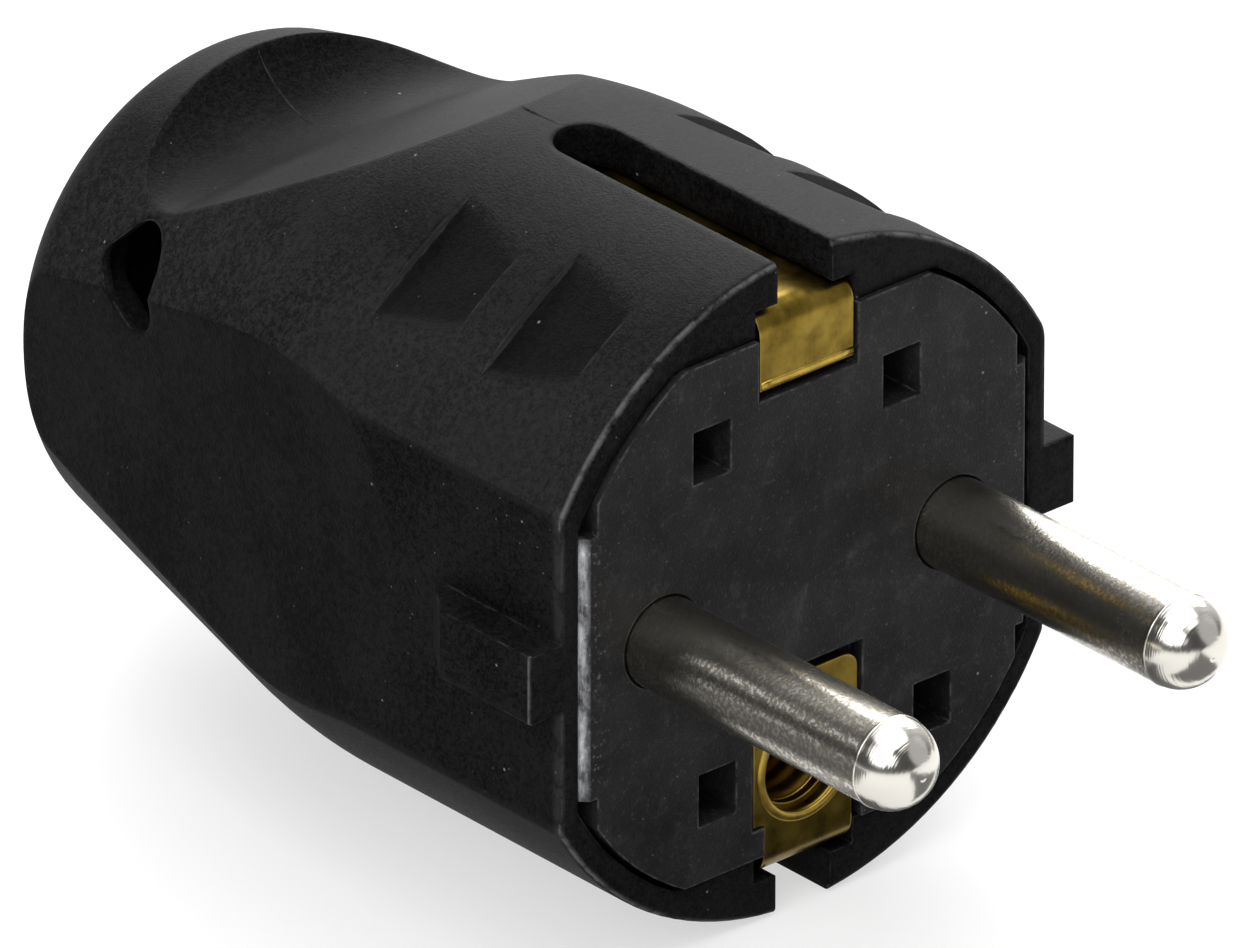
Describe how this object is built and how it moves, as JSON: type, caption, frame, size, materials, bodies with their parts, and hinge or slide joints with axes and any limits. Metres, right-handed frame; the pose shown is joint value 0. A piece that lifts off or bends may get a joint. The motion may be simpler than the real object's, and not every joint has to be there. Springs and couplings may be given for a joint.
{
  "type": "rewirable earthed mains plug",
  "caption": "Black moulded mains plug with round pins, side earth clips, an earth pin receptacle, guide ribs and a thumb hollow; the cable enters at the rear.",
  "frame": {"origin": "centre of the engagement face, midway between the two pins", "axes": "-Y along the pins, +Y towards the cable entry, +X right seen from the pins' end, +Z towards the top earth clip"},
  "size_m": [0.0356, 0.0648, 0.0362],
  "materials": {
    "black_plastic": "fine spark-eroded texture, worn grey on its edges",
    "carrier_plastic": "smooth matte",
    "nickel_plate": "satin nickel plate on brass with bright ball ends",
    "sheet_brass": "rolled sheet",
    "zinc_steel": "zinc plate"
  },
  "bodies": {
    "root": {"hood": "black_plastic", "contact_carrier": "carrier_plastic", "line_pin": "nickel_plate", "neutral_pin": "nickel_plate", "earth_strap": "sheet_brass", "earth_sleeve": "sheet_brass", "earth_clamp_washer": "sheet_brass", "terminal_screws": "zinc_steel", "cord_grip": "carrier_plastic", "cord_grip_screws": "zinc_steel"}
  },
  "joints": []
}
